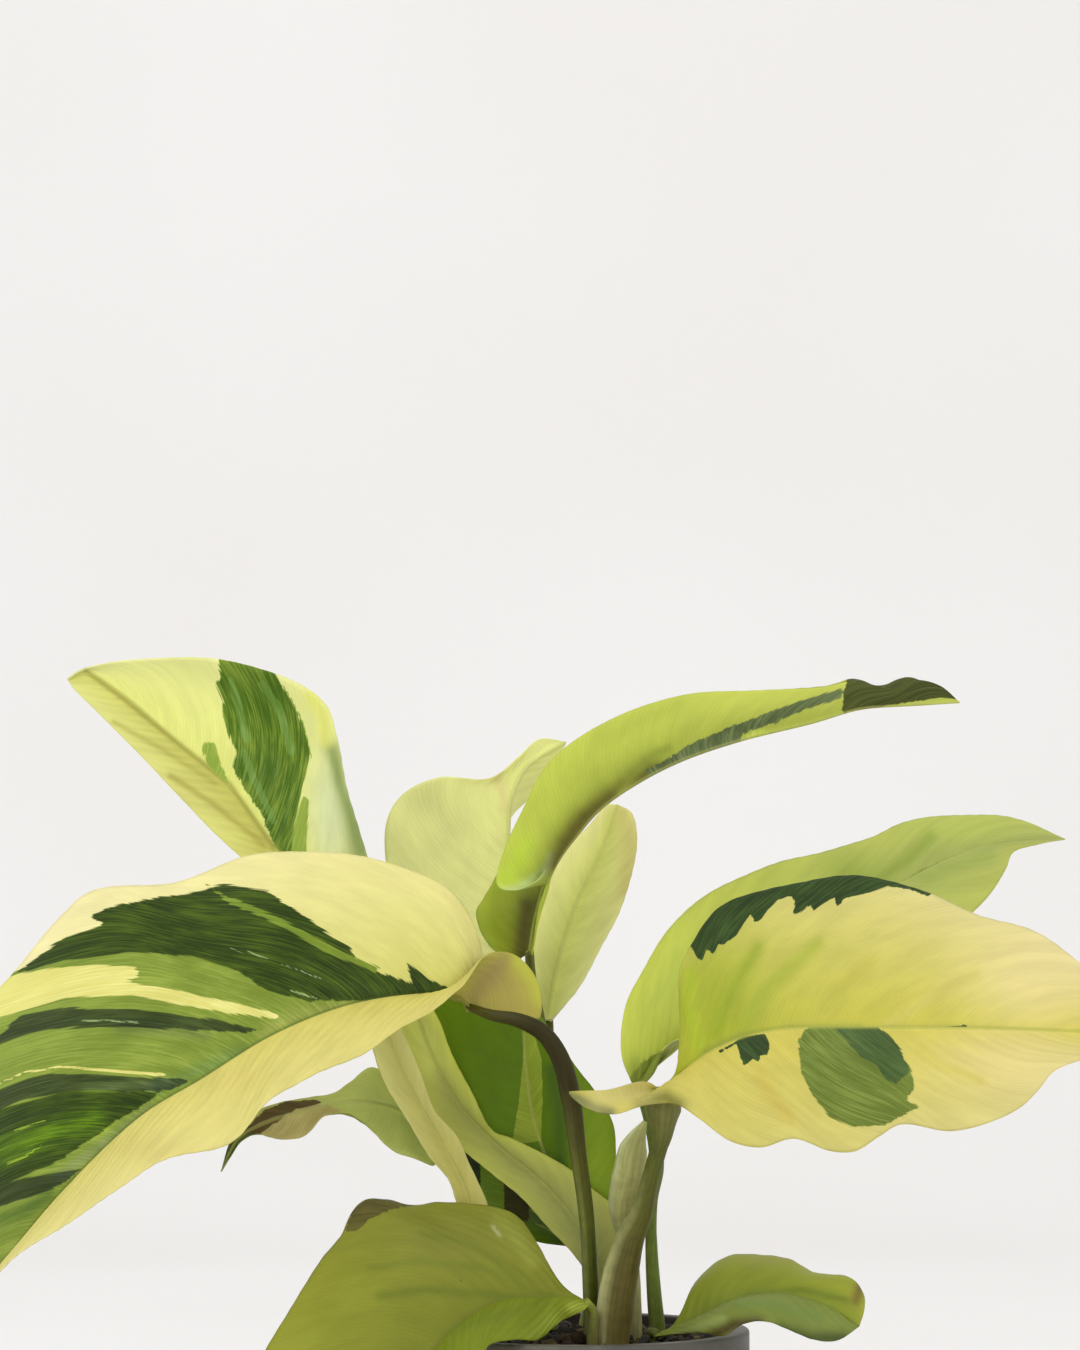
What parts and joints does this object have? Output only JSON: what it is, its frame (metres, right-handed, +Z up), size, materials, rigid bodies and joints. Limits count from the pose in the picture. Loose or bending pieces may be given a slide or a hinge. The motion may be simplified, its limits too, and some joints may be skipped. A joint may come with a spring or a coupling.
{
  "type": "potted calathea plant",
  "caption": "Potted prayer plant with broad arching leaves marbled in yellow and green on slim stems, in a plain tapered dark pot with a rolled rim.",
  "frame": {"origin": "centre of the pot's flat underside", "axes": "+Z up along the pot's axis; -Y is the side that the picture shows, with +X to its right"},
  "size_m": [0.4054, 0.1936, 0.3463],
  "materials": {
    "pot": "dark grey-brown moulded plastic, dull, slightly dusty on the rim",
    "soil": "damp dark peat and bark mix, granular and rough",
    "variegated_blade": "waxy satin leaf, creamy yellow marbled with mid and dark green along the veins",
    "pale_blade": "dull pale yellow-green leaf underside with fine veins",
    "green_blade": "satin mid-green leaf with a paler midrib and fine side veins",
    "stem": "smooth olive-green leaf stalk, darker towards the blade"
  },
  "bodies": {
    "root": {"pot": "pot", "soil": "soil", "front_left_blade": "variegated_blade", "front_left_stem": "stem", "top_left_blade": "variegated_blade", "top_left_stem": "stem", "back_centre_blade": "pale_blade", "back_centre_stem": "stem", "arching_blade": "pale_blade", "arching_stem": "stem", "small_back_blade": "pale_blade", "small_back_stem": "stem", "back_right_blade": "green_blade", "back_right_stem": "stem", "front_right_blade": "variegated_blade", "front_right_stem": "stem", "upright_blade": "green_blade", "upright_stem": "stem", "inner_blade": "green_blade", "inner_stem": "stem", "narrow_blade": "pale_blade", "narrow_stem": "stem", "low_left_blade": "green_blade", "low_left_stem": "stem", "rim_left_blade": "green_blade", "rim_left_stem": "stem", "rim_right_blade": "green_blade", "rim_right_stem": "stem", "rolled_leaf": "green_blade"}
  },
  "joints": []
}
